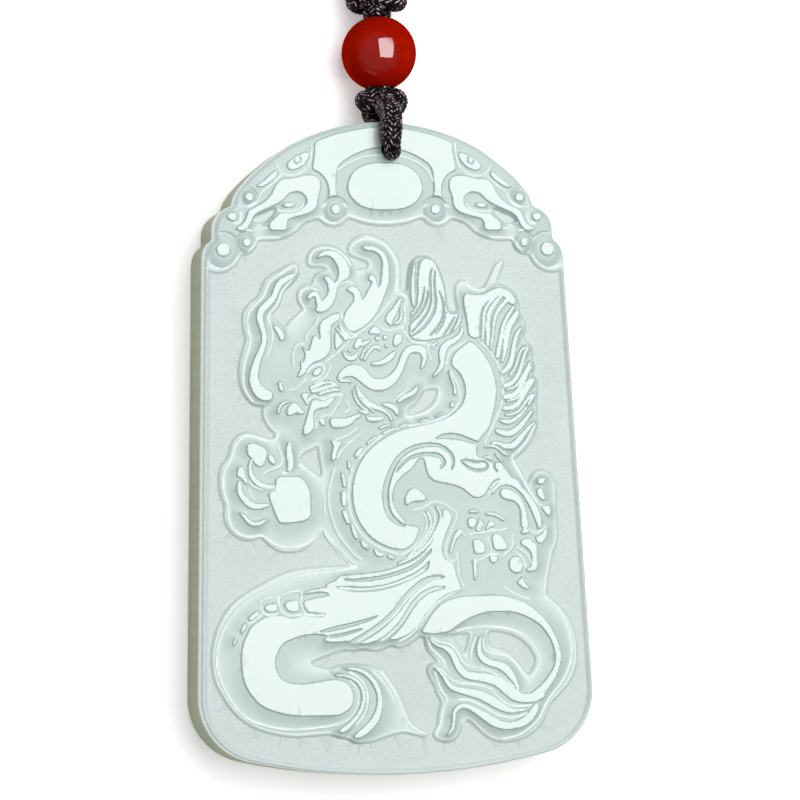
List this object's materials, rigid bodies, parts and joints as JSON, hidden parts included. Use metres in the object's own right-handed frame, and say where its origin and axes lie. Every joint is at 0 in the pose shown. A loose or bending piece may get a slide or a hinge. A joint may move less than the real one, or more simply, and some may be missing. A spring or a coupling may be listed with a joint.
{
  "type": "carved jade dragon pendant on a cord",
  "caption": "Arched tablet of pale stone carved in relief with a coiling dragon under a scrolled band, hung on a knotted black cord with a round red bead.",
  "frame": {"origin": "on the tablet's flat back, on its middle line, near the middle of its height", "axes": "+Z out of the carved face, +Y towards the arched top where the cord leaves, +X to the viewer's right"},
  "size_m": [0.0404, 0.121, 0.0115],
  "materials": {
    "jade": "pale translucent jade, carved tops polished, ground frosted",
    "agate": "polished deep red agate",
    "braid": "near black braided cord with a lilac sheen"
  },
  "bodies": {
    "root": {"jade_tablet": "jade", "agate_bead": "agate", "hang_loop": "braid", "lower_knot": "braid", "bead_cord": "braid", "upper_knot": "braid", "necklace_cord_left": "braid", "necklace_cord_right": "braid", "cord_coil": "braid"}
  },
  "joints": []
}
